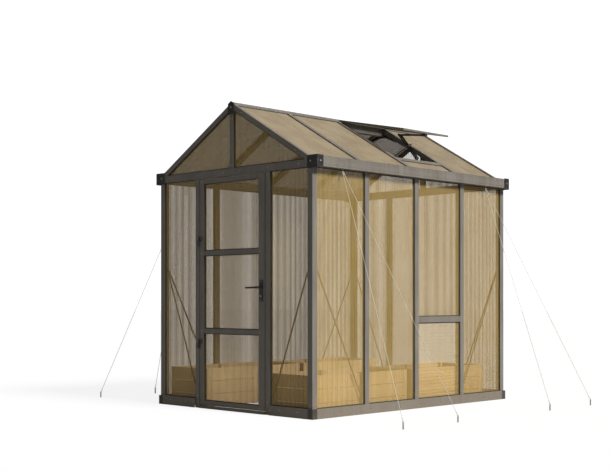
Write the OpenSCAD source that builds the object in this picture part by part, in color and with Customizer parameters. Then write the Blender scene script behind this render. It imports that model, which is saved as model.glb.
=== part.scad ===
// Walk-in greenhouse: aluminium bars, twin-wall sheets, a hinged door, gutters, one propped roof
// vent, raised beds and guy ropes in pairs. It has no floor.
// +X is to the right of someone facing the door, +Y runs from the door to the back, +Z is up.
// The origin is the middle of the footprint, on the ground. Sizes are in millimetres.

/* [House] */
// Width over the wall posts
house_w = 1810; // [1500:10:2300]
// Length over the corner posts
house_l = 2450; // [2000:10:3000]
// Height of the top of the gable beams
eave_h = 1940; // [1600:10:2350]
// Slope of the roof, in degrees
roof_pitch = 30; // [25:1:36]
// Number of bays along each long wall
bays = 4; // [3:1:6]
// Which bay of the right-hand side has the roof vent and the low sheet
vent_bay = 3; // [2:1:3]

/* [Frame bars] */
// Width of a post or jamb, seen from outside
post_w = 50; // [40:1:60]
// Depth of posts, beams and gable rafters, from outside to inside
frame_d = 32; // [26:1:38]
// Height of the gable beams
beam_h = 58; // [48:1:70]
// Width of a king post
king_w = 44; // [36:1:54]
// Width of a roof rafter, seen from above
rafter_w = 45; // [38:1:54]
// Depth of a rafter, square to the slope
rafter_d = 40; // [34:1:48]
// Width of the ridge beam
ridge_w = 60; // [50:1:72]
// Depth of the ridge beam's sides
ridge_d = 70; // [60:1:90]
// How far the ridge beam stands above the rafters
ridge_cap = 7; // [4:1:12]
// Height of the rail over the low sheet, at its middle
mid_rail_h = 725; // [600:5:900]

/* [Base] */
// Height of the base sill
sill_h = 75; // [60:1:95]
// How far the base sill stands out past the posts
sill_out = 12; // [6:1:18]
// Thickness of the sill's metal
sill_t = 4; // [2:0.5:5]
// Length of a corner piece along each sill
corner_l = 52; // [44:1:70]
// Height of the door's threshold
threshold_h = 20; // [12:1:26]

/* [Gutter] */
// Width of the gutter trough, past the wall
gutter_w = 50; // [40:1:65]
// Height of the gutter's outer wall
gutter_h = 80; // [66:1:95]
// Thickness of the gutter's metal
gutter_t = 3; // [2:0.5:5]
// How far the roof sheets reach over the gutter
roof_over = 22; // [14:1:30]

/* [Connectors] */
// Thickness of the plastic connectors
connector_t = 6; // [4:0.5:9]
// Width of an eave connector on the gable side of the post
connector_w = 52; // [44:1:64]
// Length of an eave connector along the gutter
connector_l = 60; // [40:1:80]
// How far a connector reaches past the bars above and below
connector_lap = 12; // [6:1:16]

/* [Sheets] */
// Thickness of the twin-wall sheets
sheet_t = 6; // [4:1:8]
// How deep a sheet's edge sits in a bar
slot_d = 11; // [8:1:13]
// Distance from a wall bar's outer face to the sheet
slot_set = 12; // [9:1:13]
// Distance from a rafter's top to the sheet
roof_set = 8; // [6:1:10]
// Clearance round a sheet, and between pieces that lie on each other
fit = 0.3; // [0.2:0.1:0.5]

/* [Door] */
// Width of the opening between the jambs
door_w = 790; // [700:10:860]
// Gap between the door and the frame round it
door_gap = 6; // [5:0.5:8]
// Thickness of the door
door_t = 30; // [24:1:36]
// Width of the stile on the hinge side
hinge_stile_w = 50; // [44:1:60]
// Width of the stile on the handle side
latch_stile_w = 75; // [64:1:90]
// Height of a door rail
rail_h = 38; // [30:1:46]
// Height of the middle of the lower cross rail
rail_1_h = 635; // [500:5:800]
// Height of the middle of the upper cross rail
rail_2_h = 1270; // [1100:5:1400]

/* [Hinges] */
// Height of the lower hinge
hinge_1_h = 530; // [300:5:700]
// Height of the upper hinge
hinge_2_h = 1370; // [1000:5:1450]
// Length of a hinge, both knuckles together
hinge_l = 76; // [60:2:100]
// Outer radius of a knuckle
knuckle_r = 6; // [5:0.5:8]
// Radius of a hinge pin
pin_r = 3; // [2.5:0.5:4]
// Radial clearance of a pin or spindle in its bore
pin_fit = 0.06; // [0.03:0.01:0.1]
// Thickness of a hinge plate
hinge_plate_t = 2.5; // [2:0.5:4]
// Width of a hinge plate
hinge_plate_w = 34; // [24:1:38]

/* [Handle] */
// Height of the lever
handle_h = 985; // [900:5:1100]
// Length of the lever, from its spindle to its tip
lever_l = 140; // [110:5:160]
// Height of the lever's bar
lever_w = 18; // [14:1:24]
// Thickness of the lever's bar
lever_t = 9; // [7:1:12]
// Distance from the door to the lever
lever_out = 34; // [28:1:42]
// Radius of the spindle
spindle_r = 8; // [6:0.5:10]
// Width of the handle plates
plate_w = 40; // [34:1:56]
// Height of the handle plates
plate_h = 170; // [130:5:210]
// Thickness of the handle plates
plate_t = 4; // [3:0.5:6]

/* [Braces] */
// Width of a corner brace
brace_w = 12; // [8:1:18]
// Thickness of a corner brace
brace_t = 4; // [3:0.5:5]
// Height of a brace at the corner post
brace_h = 1180; // [900:10:1350]

/* [Roof vent] */
// Distance from the middle of the roof to the bar under the vent
transom_x = 680; // [600:5:700]
// Width of that bar, seen from above
transom_w = 40; // [34:1:50]
// Length of the vent leaf down the slope
vent_l = 735; // [640:5:740]
// Angle between the propped leaf and the roof, in degrees
vent_angle = 18.5; // [8:0.5:30]
// Thickness of the leaf's frame
leaf_t = 16; // [14:1:20]
// Width of the leaf's frame bars
leaf_w = 38; // [30:1:48]
// Side gap between the leaf and the bay lines
leaf_gap = 4; // [3:1:8]

/* [Vent opener] */
// Length of the lower pair of arms
lower_arm_l = 285; // [240:5:320]
// Length of the upper pair of arms
upper_arm_l = 270; // [230:5:320]
// Height of an arm's bar
arm_w = 14; // [10:1:18]
// Thickness of an arm's bar
arm_t = 4; // [3:0.5:5]
// Radius of the round boss at each end of an arm
boss_r = 9.5; // [9.2:0.1:12]
// Radius of the opener's cylinder
opener_r = 11; // [9:0.5:12]
// Length of the opener's cylinder
opener_l = 210; // [160:5:260]

/* [Guy ropes] */
// Distance from the wall to a ground peg
rope_out = 875; // [600:5:1200]
// Distance along the wall from a hook to each of its two pegs
rope_spread = 310; // [150:5:400]
// Radius of a rope
rope_r = 3; // [2:0.5:4]
// Radius of a hook's eye
hook_r = 8; // [6:0.5:10]
// Drop of a hook's eye below the gutter
hook_drop = 22; // [18:1:30]
// Height of a ground peg's eye
peg_h = 48; // [36:1:70]

/* [Raised beds] */
// Height of a bed
bed_h = 320; // [220:10:400]
// Width of a bed
bed_w = 470; // [350:10:520]
// Gap between a bed and the wall's outer face
bed_gap_wall = 50; // [44:1:80]
// Gap between a bed and the front wall's outer face
bed_gap_front = 75; // [60:5:120]
// Gap between a bed and the back wall's outer face
bed_gap_back = 255; // [80:5:350]
// Length of a front bed
front_bed_l = 1080; // [700:10:1150]
// Gap between the front and the back bed
bed_gap_mid = 50; // [20:5:100]
// Side of a bed's square post
bed_post = 45; // [35:1:60]
// Thickness of a bed's boards
board_t = 20; // [16:1:30]

/* [Hidden] */
$fn = 48;

// Colours of the finishes
bar_colour = [0.40, 0.37, 0.34];
plastic_colour = [0.10, 0.09, 0.08];
sheet_colour = [0.70, 0.66, 0.50, 0.6];
roof_colour = [0.62, 0.56, 0.45, 0.9];
wood_colour = [0.83, 0.69, 0.46];
steel_colour = [0.60, 0.60, 0.62];
rope_colour = [0.80, 0.77, 0.68];

// Half sizes of the house
side_x = house_w / 2;
end_y = house_l / 2;
bay_l = house_l / bays;
// Inner face of the wall bars
inner_x = side_x - frame_d;
// Underside of the beams and gutters
plate_z = eave_h - beam_h;
// Middle of the roof, where the rafters' top planes would meet
peak_z = eave_h + side_x * tan(roof_pitch);
ridge_x = ridge_w / 2;
// Depths under the rafters' top, measured straight down
rafter_v = rafter_d / cos(roof_pitch);
sheet_top_v = roof_set / cos(roof_pitch);
sheet_low_v = (roof_set + sheet_t) / cos(roof_pitch);
fit_v = fit / cos(roof_pitch);
tail_v = (roof_set + sheet_t + fit) / cos(roof_pitch);
roof_end_x = side_x + roof_over;
ridge_low_z = slope_z(ridge_x) - ridge_d;

// Outer end of the gutter and of the corner blocks
gutter_x = side_x + gutter_w;
gutter_top = plate_z + gutter_h;
corner_x = side_x + sill_out - corner_l;
corner_y = end_y + sill_out - corner_l;

// Door opening and leaf
jamb_x = door_w / 2;
jamb_out = jamb_x + post_w;
leaf_x = jamb_x - door_gap;
leaf_low = threshold_h + door_gap;
leaf_top = plate_z - door_gap;
door_front = -end_y;
door_back = door_front + door_t;
stile_in_left = -leaf_x + hinge_stile_w;
stile_in_right = leaf_x - latch_stile_w;
door_slot_y = door_front + (door_t - sheet_t) / 2;
pivot_x = -jamb_x + door_gap / 2;
pivot_y = door_front - knuckle_r - 2;
handle_x = leaf_x - latch_stile_w / 2;

// Places of the propped vent leaf: its hinge line, and the slope that it lies at
leaf_hinge_x = ridge_x + leaf_t / 2 + fit;
leaf_hinge_z = slope_z(leaf_hinge_x) + leaf_t / 2 + 2;
leaf_slope = roof_pitch - vent_angle;
vent_y0 = post_y(vent_bay - 1) + leaf_gap;
vent_y1 = post_y(vent_bay) - leaf_gap;
vent_mid = (vent_y0 + vent_y1) / 2;
transom_x0 = transom_x - transom_w / 2;
transom_x1 = transom_x + transom_w / 2;

// The opener's foot, its seat under the leaf, and the elbow between its two pairs of arms
opener_half = arm_w;
foot = [transom_x0 - arm_w / 2, slope_z(transom_x0 - arm_w / 2) + arm_w];
seat = leaf_point(vent_l - leaf_w / 2, -leaf_t / 2 - arm_w);
reach = norm(seat - foot);
reach_angle = atan2(seat[1] - foot[1], seat[0] - foot[0]);
foot_angle = acos((lower_arm_l ^ 2 + reach ^ 2 - upper_arm_l ^ 2) / (2 * lower_arm_l * reach));
elbow = foot + lower_arm_l * [cos(reach_angle + foot_angle), sin(reach_angle + foot_angle)];
// Where the opener's cylinder crosses the lower arms
cross_point = (foot + elbow) / 2;
cross_tilt = 27;

// Ropes and beds
rope_x0 = side_x + gutter_w / 2;
rope_x1 = side_x + rope_out;
hook_z = plate_z - hook_drop;
rope_ys = [-end_y + bay_l / 2, end_y - bay_l / 2];
bed_x1 = side_x - bed_gap_wall;
bed_x0 = bed_x1 - bed_w;
front_bed_y = -end_y + bed_gap_front;
back_bed_y = front_bed_y + front_bed_l + bed_gap_mid;
back_bed_l = end_y - bed_gap_back - back_bed_y;

function post_y(i) = -end_y + i * bay_l;
function slope_z(x) = peak_z - abs(x) * tan(roof_pitch);
function leaf_point(u, n) = [
    leaf_hinge_x + u * cos(leaf_slope) + n * sin(leaf_slope),
    leaf_hinge_z - u * sin(leaf_slope) + n * cos(leaf_slope)
];

// A rectangular bar between two opposite corners.
module bar(low, high) {
    translate(low) cube(high - low);
}

// A plate whose outline lies in X and Z, from y to y + t.
module xz_plate(y, t) {
    translate([0, y + t, 0]) rotate([90, 0, 0]) linear_extrude(t) children();
}

// A plate whose outline lies in Y and Z, from x to x + t.
module yz_plate(x, t) {
    translate([x, 0, 0]) rotate([90, 0, 90]) linear_extrude(t) children();
}

// The same piece on the right and on the left of the house.
module both_sides() {
    children();
    mirror([1, 0, 0]) children();
}

// The same piece at the front and at the back of the house.
module both_ends() {
    children();
    mirror([0, 1, 0]) children();
}

// A band that follows the right-hand slope, between two depths under the rafters' top.
module slope_band(x0, x1, v0, v1) {
    polygon([
        [x0, slope_z(x0) - v0], [x1, slope_z(x1) - v0], [x1, slope_z(x1) - v1], [x0, slope_z(x0) - v1]
    ]);
}

// ---- Sheets. Each takes a margin, so that the same shape, grown, cuts its slot. ----

// One sheet of the right-hand wall, between two heights.
module wall_sheet(i, low, high, margin) {
    y0 = i == 1 ? -end_y + post_w : post_y(i - 1) + post_w / 2;
    y1 = i == bays ? end_y - post_w : post_y(i) - post_w / 2;
    bar([side_x - slot_set - sheet_t - margin, y0 - slot_d - margin, low - margin],
        [side_x - slot_set + margin, y1 + slot_d + margin, high + margin]);
}

module full_wall_sheet(i, margin) {
    wall_sheet(i, sill_h + fit, plate_z + slot_d, margin);
}

module low_wall_sheet(margin) {
    wall_sheet(vent_bay, sill_h + fit, mid_rail_h - post_w / 2 + slot_d, margin);
}

module upper_wall_sheet(margin) {
    wall_sheet(vent_bay, mid_rail_h + post_w / 2 - slot_d, plate_z + slot_d, margin);
}

module right_wall_sheets(margin) {
    for (i = [1:bays]) {
        if (i != vent_bay) full_wall_sheet(i, margin);
    }
    low_wall_sheet(margin);
    upper_wall_sheet(margin);
}

module left_wall_sheets(margin) {
    mirror([1, 0, 0]) {
        for (i = [1:bays]) full_wall_sheet(i, margin);
    }
}

// A sheet in the front wall, between two bars whose facing sides are at x0 and x1.
module end_sheet(x0, x1, margin) {
    bar([x0 - slot_d - margin, -end_y + slot_set - margin, sill_h + fit - margin],
        [x1 + slot_d + margin, -end_y + slot_set + sheet_t + margin, plate_z + slot_d + margin]);
}

module front_wall_sheets(margin) {
    both_sides() end_sheet(jamb_out, side_x - post_w, margin);
}

module back_wall_sheets(margin) {
    mirror([0, 1, 0]) {
        both_sides() end_sheet(jamb_out, side_x - post_w, margin);
        end_sheet(-jamb_x, jamb_x, margin);
    }
}

// The three-cornered sheet between beam, king post and rafter, right of the front king post.
module gable_sheet(margin) {
    x0 = king_w / 2 - slot_d - margin;
    z0 = eave_h - slot_d - margin;
    cut_v = rafter_v - (slot_d + margin) / cos(roof_pitch);
    x1 = (peak_z - cut_v - z0) / tan(roof_pitch);
    xz_plate(-end_y + slot_set - margin, sheet_t + 2 * margin)
        polygon([[x0, z0], [x1, z0], [x0, slope_z(x0) - cut_v]]);
}

module all_gable_sheets(margin) {
    both_ends() both_sides() gable_sheet(margin);
}

// One roof sheet of the right-hand slope, from x0 down to the gutter.
module roof_sheet(i, x0, margin) {
    y0 = i == 1 ? -end_y + frame_d : post_y(i - 1) + rafter_w / 2;
    y1 = i == bays ? end_y - frame_d : post_y(i) - rafter_w / 2;
    margin_v = margin / cos(roof_pitch);
    xz_plate(y0 - slot_d - margin, y1 - y0 + 2 * (slot_d + margin))
        slope_band(x0 - slot_d - margin, roof_end_x + margin,
            sheet_top_v - margin_v, sheet_low_v + margin_v);
}

module right_roof_sheets(margin) {
    for (i = [1:bays]) roof_sheet(i, i == vent_bay ? transom_x1 : ridge_x, margin);
}

module left_roof_sheets(margin) {
    mirror([1, 0, 0]) {
        for (i = [1:bays]) roof_sheet(i, ridge_x, margin);
    }
}

module door_sheet(low, high, margin) {
    bar([stile_in_left - slot_d - margin, door_slot_y - margin, low - slot_d - margin],
        [stile_in_right + slot_d + margin, door_slot_y + sheet_t + margin, high + slot_d + margin]);
}

module all_door_sheets(margin) {
    door_sheet(leaf_low + rail_h, rail_1_h - rail_h / 2, margin);
    door_sheet(rail_1_h + rail_h / 2, rail_2_h - rail_h / 2, margin);
    door_sheet(rail_2_h + rail_h / 2, leaf_top - rail_h, margin);
}

module wall_sheets_right() {
    color(sheet_colour) {
        for (i = [1:bays]) {
            if (i != vent_bay) full_wall_sheet(i, 0);
        }
        upper_wall_sheet(0);
    }
}

module low_sheet() {
    color(sheet_colour) low_wall_sheet(0);
}

module wall_sheets_left() {
    color(sheet_colour) left_wall_sheets(0);
}

module front_sheets() {
    color(sheet_colour) front_wall_sheets(0);
}

module back_sheets() {
    color(sheet_colour) back_wall_sheets(0);
}

module gable_sheets() {
    color(sheet_colour) all_gable_sheets(0);
}

module roof_sheets_right() {
    color(roof_colour) right_roof_sheets(0);
}

module roof_sheets_left() {
    color(roof_colour) left_roof_sheets(0);
}

// ---- Base ----

// A sill of C section that runs along +X from x0 to x1 at the front, open to the inside.
module sill_run(x0, x1) {
    front = -end_y - sill_out;
    bar([x0, front, 0], [x1, front + sill_t, sill_h]);
    bar([x0, front, 0], [x1, -end_y + frame_d, sill_t]);
    bar([x0, front, sill_h - sill_t], [x1, -end_y + frame_d, sill_h]);
}

// The same section along the right-hand wall.
module side_sill() {
    edge = side_x + sill_out;
    bar([edge - sill_t, -corner_y, 0], [edge, corner_y, sill_h]);
    bar([inner_x, -corner_y, 0], [edge, corner_y, sill_t]);
    bar([inner_x, -corner_y, sill_h - sill_t], [edge, corner_y, sill_h]);
}

module base_sills() {
    color(bar_colour) {
        both_sides() {
            sill_run(jamb_out, corner_x);
            side_sill();
        }
        mirror([0, 1, 0]) sill_run(-corner_x, corner_x);
    }
}

module base_corners() {
    color(plastic_colour) both_ends() both_sides()
        bar([corner_x, -end_y - sill_out, 0], [corner_x + corner_l, -corner_y, sill_h]);
}

module threshold() {
    color(bar_colour) bar([-jamb_x, -end_y - sill_out, 0], [jamb_x, -end_y + frame_d, threshold_h]);
}

// ---- Posts, beams and gutters ----

module corner_posts() {
    color(bar_colour) difference() {
        both_ends() both_sides()
            bar([side_x - post_w, -end_y, sill_h], [side_x, -end_y + post_w, plate_z]);
        right_wall_sheets(fit);
        left_wall_sheets(fit);
        front_wall_sheets(fit);
        back_wall_sheets(fit);
    }
}

module wall_posts() {
    color(bar_colour) difference() {
        both_sides() for (i = [1:bays - 1])
            bar([inner_x, post_y(i) - post_w / 2, sill_h], [side_x, post_y(i) + post_w / 2, plate_z]);
        right_wall_sheets(fit);
        left_wall_sheets(fit);
    }
}

module door_jambs() {
    color(bar_colour) difference() {
        both_sides() bar([jamb_x, -end_y, 0], [jamb_out, -end_y + frame_d, plate_z]);
        front_wall_sheets(fit);
    }
}

module back_posts() {
    color(bar_colour) difference() {
        both_sides() bar([jamb_x, end_y - frame_d, sill_h], [jamb_out, end_y, plate_z]);
        back_wall_sheets(fit);
    }
}

module gable_beams() {
    color(bar_colour) difference() {
        both_ends() bar([-inner_x, -end_y, plate_z], [inner_x, -end_y + frame_d, eave_h]);
        front_wall_sheets(fit);
        back_wall_sheets(fit);
        all_gable_sheets(fit);
    }
}

module king_posts() {
    color(bar_colour) difference() {
        both_ends()
            bar([-king_w / 2, -end_y, eave_h], [king_w / 2, -end_y + frame_d, ridge_low_z]);
        all_gable_sheets(fit);
    }
}

// One extrusion: a closed eave bar that carries the roof sheets, and the trough outside it.
module gutter_run() {
    xz_plate(-end_y, house_l) polygon([
        [inner_x, plate_z], [gutter_x, plate_z], [gutter_x, gutter_top],
        [gutter_x - gutter_t, gutter_top], [gutter_x - gutter_t, plate_z + gutter_t],
        [side_x, plate_z + gutter_t], [side_x, slope_z(side_x) - tail_v],
        [inner_x, slope_z(inner_x) - tail_v]
    ]);
}

module gutter_right() {
    color(bar_colour) difference() {
        gutter_run();
        right_wall_sheets(fit);
    }
}

module gutter_left() {
    color(bar_colour) difference() {
        mirror([1, 0, 0]) gutter_run();
        left_wall_sheets(fit);
    }
}

// An angle of plastic that closes a gutter's end and ties the beam, the gutter and the post.
module eave_corners() {
    low = plate_z - connector_lap;
    high = gutter_top + connector_lap / 2;
    color(plastic_colour) both_ends() both_sides() {
        bar([side_x - connector_w, -end_y - fit - connector_t, low],
            [gutter_x + fit + connector_t, -end_y - fit, high]);
        bar([gutter_x + fit, -end_y - fit - connector_t, low],
            [gutter_x + fit + connector_t, -end_y + connector_l, high]);
    }
}

// ---- Roof bars ----

// The outline of the ridge beam: upright sides under a low cap that follows both slopes.
module ridge_outline(grow) {
    x1 = ridge_x + grow;
    polygon([
        [-x1, ridge_low_z - grow], [x1, ridge_low_z - grow], [x1, slope_z(x1) + ridge_cap + grow],
        [0, peak_z + ridge_cap + grow], [-x1, slope_z(x1) + ridge_cap + grow]
    ]);
}

module ridge_beam() {
    color(bar_colour) difference() {
        xz_plate(-end_y, house_l) ridge_outline(0);
        all_gable_sheets(fit);
        right_roof_sheets(fit);
        left_roof_sheets(fit);
    }
}

module ridge_ends() {
    color(plastic_colour) both_ends()
        xz_plate(-end_y - fit - connector_t, connector_t) ridge_outline(connector_lap / 2);
}

// A gable rafter sits on the beam at its foot and carries on over the eave bar as a tail.
module gable_rafter() {
    foot_x = (peak_z - rafter_v - eave_h) / tan(roof_pitch);
    xz_plate(-end_y, frame_d) polygon([
        [ridge_x, slope_z(ridge_x)], [roof_end_x, slope_z(roof_end_x)],
        [roof_end_x, slope_z(roof_end_x) - tail_v], [inner_x, slope_z(inner_x) - tail_v],
        [inner_x, eave_h], [foot_x, eave_h], [ridge_x, slope_z(ridge_x) - rafter_v]
    ]);
}

module gable_rafters() {
    color(bar_colour) difference() {
        both_ends() both_sides() gable_rafter();
        all_gable_sheets(fit);
        right_roof_sheets(fit);
        left_roof_sheets(fit);
    }
}

// A roof rafter runs from the ridge beam to the eave bar, with a tail over the eave bar.
module roof_rafter(i) {
    xz_plate(post_y(i) - rafter_w / 2, rafter_w) polygon([
        [ridge_x, slope_z(ridge_x)], [roof_end_x, slope_z(roof_end_x)],
        [roof_end_x, slope_z(roof_end_x) - tail_v], [inner_x, slope_z(inner_x) - tail_v],
        [inner_x, slope_z(inner_x) - rafter_v], [ridge_x, slope_z(ridge_x) - rafter_v]
    ]);
}

module roof_rafters() {
    color(bar_colour) difference() {
        both_sides() for (i = [1:bays - 1]) roof_rafter(i);
        right_roof_sheets(fit);
        left_roof_sheets(fit);
    }
}

module mid_rail() {
    color(bar_colour) difference() {
        bar([inner_x, post_y(vent_bay - 1) + post_w / 2, mid_rail_h - post_w / 2],
            [side_x, post_y(vent_bay) - post_w / 2, mid_rail_h + post_w / 2]);
        right_wall_sheets(fit);
    }
}

module vent_transom() {
    y0 = post_y(vent_bay - 1) + rafter_w / 2;
    color(bar_colour) difference() {
        xz_plate(y0, bay_l - rafter_w) slope_band(transom_x0, transom_x1, 0, rafter_v);
        right_roof_sheets(fit);
    }
}

// ---- Corner braces, on the inside of the end bays ----

// The outline of a brace that falls from the height brace_h at a to the sill at b.
module brace_outline(a, b) {
    low = sill_h + brace_w;
    rise = brace_w * norm([b - a, brace_h - low]) / abs(b - a);
    polygon([[a, brace_h], [a, brace_h - rise], [b, low], [b, low + rise]]);
}

module wall_braces() {
    set = frame_d - brace_t - 2;
    color(steel_colour) both_ends() both_sides() {
        yz_plate(side_x - set - brace_t, brace_t)
            brace_outline(-end_y + post_w, post_y(1) - post_w / 2);
        xz_plate(-end_y + set, brace_t) brace_outline(side_x - post_w, jamb_out);
    }
}

// ---- Roof vent ----

// Places a piece in the leaf's own frame: X down the leaf from its hinge, Z square to it.
module on_leaf() {
    translate([leaf_hinge_x, 0, leaf_hinge_z]) rotate([0, leaf_slope, 0]) children();
}

module leaf_sheet(margin) {
    on_leaf() bar([leaf_w - slot_d - margin, vent_y0 + leaf_w - slot_d - margin, -sheet_t / 2 - margin],
        [vent_l - leaf_w + slot_d + margin, vent_y1 - leaf_w + slot_d + margin, sheet_t / 2 + margin]);
}

// Four bars: the top one has the round hinge edge, and the side bars fit between top and bottom.
module vent_leaf_frame() {
    half = leaf_t / 2;
    color(bar_colour) difference() {
        on_leaf() {
            bar([0, vent_y0, -half], [leaf_w, vent_y1, half]);
            translate([0, vent_y1, 0]) rotate([90, 0, 0]) cylinder(r = half, h = vent_y1 - vent_y0);
            bar([vent_l - leaf_w, vent_y0, -half], [vent_l, vent_y1, half]);
            bar([leaf_w + fit, vent_y0, -half], [vent_l - leaf_w - fit, vent_y0 + leaf_w, half]);
            bar([leaf_w + fit, vent_y1 - leaf_w, -half], [vent_l - leaf_w - fit, vent_y1, half]);
        }
        leaf_sheet(fit);
    }
}

module vent_leaf_sheet() {
    color(sheet_colour) leaf_sheet(0);
}

// A flat arm between two points in X and Z, with a round boss at each end, from y to y + arm_t.
module arm(a, b, y) {
    span = b - a;
    xz_plate(y, arm_t) {
        translate(a) rotate(atan2(span[1], span[0])) translate([0, -arm_w / 2]) square([norm(span), arm_w]);
        for (end = [a, b]) translate(end) circle(r = boss_r);
    }
}

// The lower arms run outside the upper ones, and one pin through the elbow joins all four.
module vent_opener_arms() {
    out_y = opener_half;
    in_y = opener_half - arm_t - fit;
    color(plastic_colour) {
        for (side = [-1, 1]) {
            arm(foot, elbow, vent_mid + (side < 0 ? -out_y - arm_t : out_y));
            arm(elbow, seat, vent_mid + (side < 0 ? -in_y - arm_t : in_y));
        }
        translate([elbow[0], vent_mid + out_y + arm_t, elbow[1]]) rotate([90, 0, 0])
            cylinder(r = arm_w / 4, h = 2 * (out_y + arm_t));
    }
}

// One block stands on the bar under the vent, the other hangs under the leaf.
module vent_opener_brackets() {
    foot_half = opener_half - fit;
    seat_half = opener_half - arm_t - 2 * fit;
    block = 2 * arm_w;
    color(plastic_colour) {
        bar([transom_x0 - arm_w, vent_mid - foot_half, foot[1] - block],
            [transom_x0, vent_mid + foot_half, foot[1] + arm_w / 2]);
        on_leaf() bar([vent_l - leaf_w, vent_mid - seat_half, -leaf_t / 2 - block + arm_w / 2],
            [vent_l, vent_mid + seat_half, -leaf_t / 2]);
    }
}

// A tube that lies across the lower arms, with its rod and the pin that holds it between them.
module vent_opener_cylinder() {
    color(steel_colour) translate([cross_point[0], vent_mid, cross_point[1]]) {
        rotate([0, 90 - cross_tilt, 0]) {
            translate([0, 0, -opener_l]) cylinder(r = opener_r, h = opener_l);
            cylinder(r = opener_r / 2, h = opener_l / 5);
        }
        translate([0, opener_half - fit, 0]) rotate([90, 0, 0])
            cylinder(r = arm_w / 4, h = 2 * (opener_half - fit));
    }
}

// ---- Raised beds ----

// One bed without a bottom: six square posts with boards between them.
module bed(y0, l) {
    post_ys = [y0, y0 + (l - bed_post) / 2, y0 + l - bed_post];
    for (x = [bed_x0, bed_x1 - bed_post]) {
        for (y = post_ys) bar([x, y, 0], [x + bed_post, y + bed_post, bed_h]);
    }
    for (x = [bed_x0, bed_x1 - board_t]) {
        for (i = [0:1])
            bar([x, post_ys[i] + bed_post + fit, 0], [x + board_t, post_ys[i + 1] - fit, bed_h]);
    }
    for (y = [y0, y0 + l - board_t]) {
        bar([bed_x0 + bed_post + fit, y, 0], [bed_x1 - bed_post - fit, y + board_t, bed_h]);
    }
}

module beds_right() {
    color(wood_colour) {
        bed(front_bed_y, front_bed_l);
        bed(back_bed_y, back_bed_l);
    }
}

module beds_left() {
    color(wood_colour) mirror([1, 0, 0]) {
        bed(front_bed_y, front_bed_l);
        bed(back_bed_y, back_bed_l);
    }
}

// ---- Guy ropes ----

module rope_hooks() {
    color(steel_colour) both_sides() for (y = rope_ys) {
        translate([rope_x0, y, hook_z]) {
            sphere(r = hook_r);
            cylinder(r = hook_r / 2, h = hook_drop);
        }
    }
}

// One rope runs from each side of a hook's eye to its own peg.
module strand(y, side) {
    start = [rope_x0, y + side * (rope_r + 1), hook_z];
    span = [rope_x1, y + side * rope_spread, peg_h] - start;
    l = norm(span);
    translate(start) rotate([0, acos(span[2] / l), atan2(span[1], span[0])])
        translate([0, 0, hook_r]) cylinder(r = rope_r, h = l - 2 * hook_r - fit);
}

module guy_ropes() {
    color(rope_colour) both_sides() for (y = rope_ys) {
        for (side = [-1, 1]) strand(y, side);
    }
}

module ground_pegs() {
    color(steel_colour) both_sides() for (y = rope_ys) {
        for (side = [-1, 1]) translate([rope_x1, y + side * rope_spread, 0]) {
            cylinder(r = hook_r * 0.75, h = peg_h);
            translate([0, 0, peg_h]) sphere(r = hook_r);
        }
    }
}

// ---- Door ----

// A hinge pair: the lower knuckle and the pin belong to the jamb, the upper knuckle to the door.
module jamb_hinge(z) {
    low = z - hinge_l / 2;
    bar([pivot_x - hinge_plate_w, -end_y - hinge_plate_t, low], [pivot_x, -end_y, z - 0.5]);
    translate([pivot_x, pivot_y, low]) {
        cylinder(r = knuckle_r, h = hinge_l / 2 - 0.5);
        cylinder(r = pin_r, h = hinge_l - 2);
    }
    bar([pivot_x - knuckle_r, pivot_y, low], [pivot_x, -end_y, z - 0.5]);
}

module door_hinge(z) {
    high = z + hinge_l / 2;
    difference() {
        union() {
            bar([pivot_x, -end_y - hinge_plate_t, z], [pivot_x + hinge_plate_w, -end_y, high]);
            translate([pivot_x, pivot_y, z]) cylinder(r = knuckle_r, h = hinge_l / 2);
            bar([pivot_x, pivot_y, z], [pivot_x + knuckle_r, -end_y, high]);
        }
        translate([pivot_x, pivot_y, z - 1]) cylinder(r = pin_r + pin_fit, h = hinge_l);
    }
}

module jamb_hinges() {
    color(plastic_colour) for (z = [hinge_1_h, hinge_2_h]) jamb_hinge(z);
}

module door_hinges() {
    color(plastic_colour) for (z = [hinge_1_h, hinge_2_h]) door_hinge(z);
}

// A bore for the spindle, through the stile or a plate.
module spindle_bore(clearance) {
    translate([handle_x, door_front - lever_out, handle_h]) rotate([-90, 0, 0])
        cylinder(r = spindle_r + clearance, h = door_t + 2 * lever_out);
}

module door_stiles() {
    color(bar_colour) difference() {
        union() {
            bar([-leaf_x, door_front, leaf_low], [stile_in_left, door_back, leaf_top]);
            bar([stile_in_right, door_front, leaf_low], [leaf_x, door_back, leaf_top]);
        }
        all_door_sheets(fit);
        spindle_bore(pin_fit);
    }
}

module door_rail(low) {
    bar([stile_in_left, door_front, low], [stile_in_right, door_back, low + rail_h]);
}

module door_rails() {
    color(bar_colour) difference() {
        union() {
            door_rail(leaf_low);
            door_rail(rail_1_h - rail_h / 2);
            door_rail(rail_2_h - rail_h / 2);
            door_rail(leaf_top - rail_h);
        }
        all_door_sheets(fit);
    }
}

module door_sheets() {
    color(sheet_colour) all_door_sheets(0);
}

module handle_plates() {
    low = handle_h - plate_h * 0.65;
    color(plastic_colour) difference() {
        for (y = [door_front - plate_t, door_back])
            bar([handle_x - plate_w / 2, y, low], [handle_x + plate_w / 2, y + plate_t, low + plate_h]);
        spindle_bore(3 * fit);
    }
}

// A lever on each side of the door, fixed to one spindle.
module lever(y) {
    translate([handle_x, y, handle_h]) {
        bar([-lever_l, 0, -lever_w / 2], [0, lever_t, lever_w / 2]);
        translate([0, lever_t, 0]) rotate([90, 0, 0]) cylinder(r = lever_w / 2, h = lever_t);
        translate([-lever_l, lever_t, 0]) rotate([90, 0, 0]) cylinder(r = lever_w / 2, h = lever_t);
    }
}

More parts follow.
